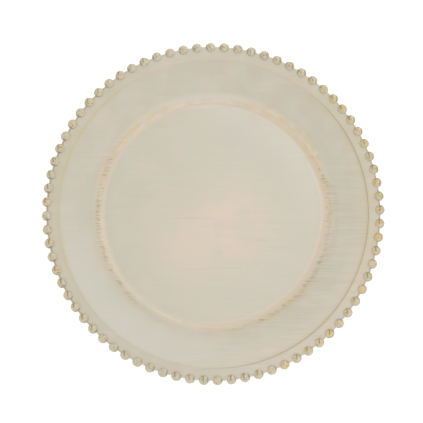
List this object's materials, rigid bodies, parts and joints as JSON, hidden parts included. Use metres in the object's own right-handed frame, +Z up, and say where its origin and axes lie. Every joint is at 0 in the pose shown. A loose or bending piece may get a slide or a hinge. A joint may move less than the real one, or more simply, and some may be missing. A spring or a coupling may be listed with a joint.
{
  "type": "beaded charger plate",
  "caption": "Round shallow charger plate with a flat well, a wide gently rising rim and a ball-bead edging slotted onto the rim's edge, for serving or for setting under a dinner plate.",
  "frame": {"origin": "on the table, under the middle of the plate", "axes": "+Z up through the middle of the well, +X and +Y each through the middle of a bead"},
  "size_m": [0.33, 0.33, 0.021],
  "materials": {
    "ivory_lacquer": "satin ivory lacquer, brushed in fine streaks, with gold-brown rubbed on the raised edges",
    "gilded_beads": "satin ivory lacquer with soft gold-brown rubbed over the beads"
  },
  "bodies": {
    "root": {"plate_body": "ivory_lacquer", "bead_strip_01": "gilded_beads", "bead_strip_02": "gilded_beads", "bead_strip_03": "gilded_beads", "bead_strip_04": "gilded_beads", "bead_strip_05": "gilded_beads", "bead_strip_06": "gilded_beads", "bead_strip_07": "gilded_beads", "bead_strip_08": "gilded_beads", "bead_strip_09": "gilded_beads", "bead_strip_10": "gilded_beads", "bead_strip_11": "gilded_beads", "bead_strip_12": "gilded_beads", "bead_strip_13": "gilded_beads", "bead_strip_14": "gilded_beads", "bead_strip_15": "gilded_beads", "bead_strip_16": "gilded_beads", "bead_strip_17": "gilded_beads", "bead_strip_18": "gilded_beads", "bead_strip_19": "gilded_beads"}
  },
  "joints": []
}
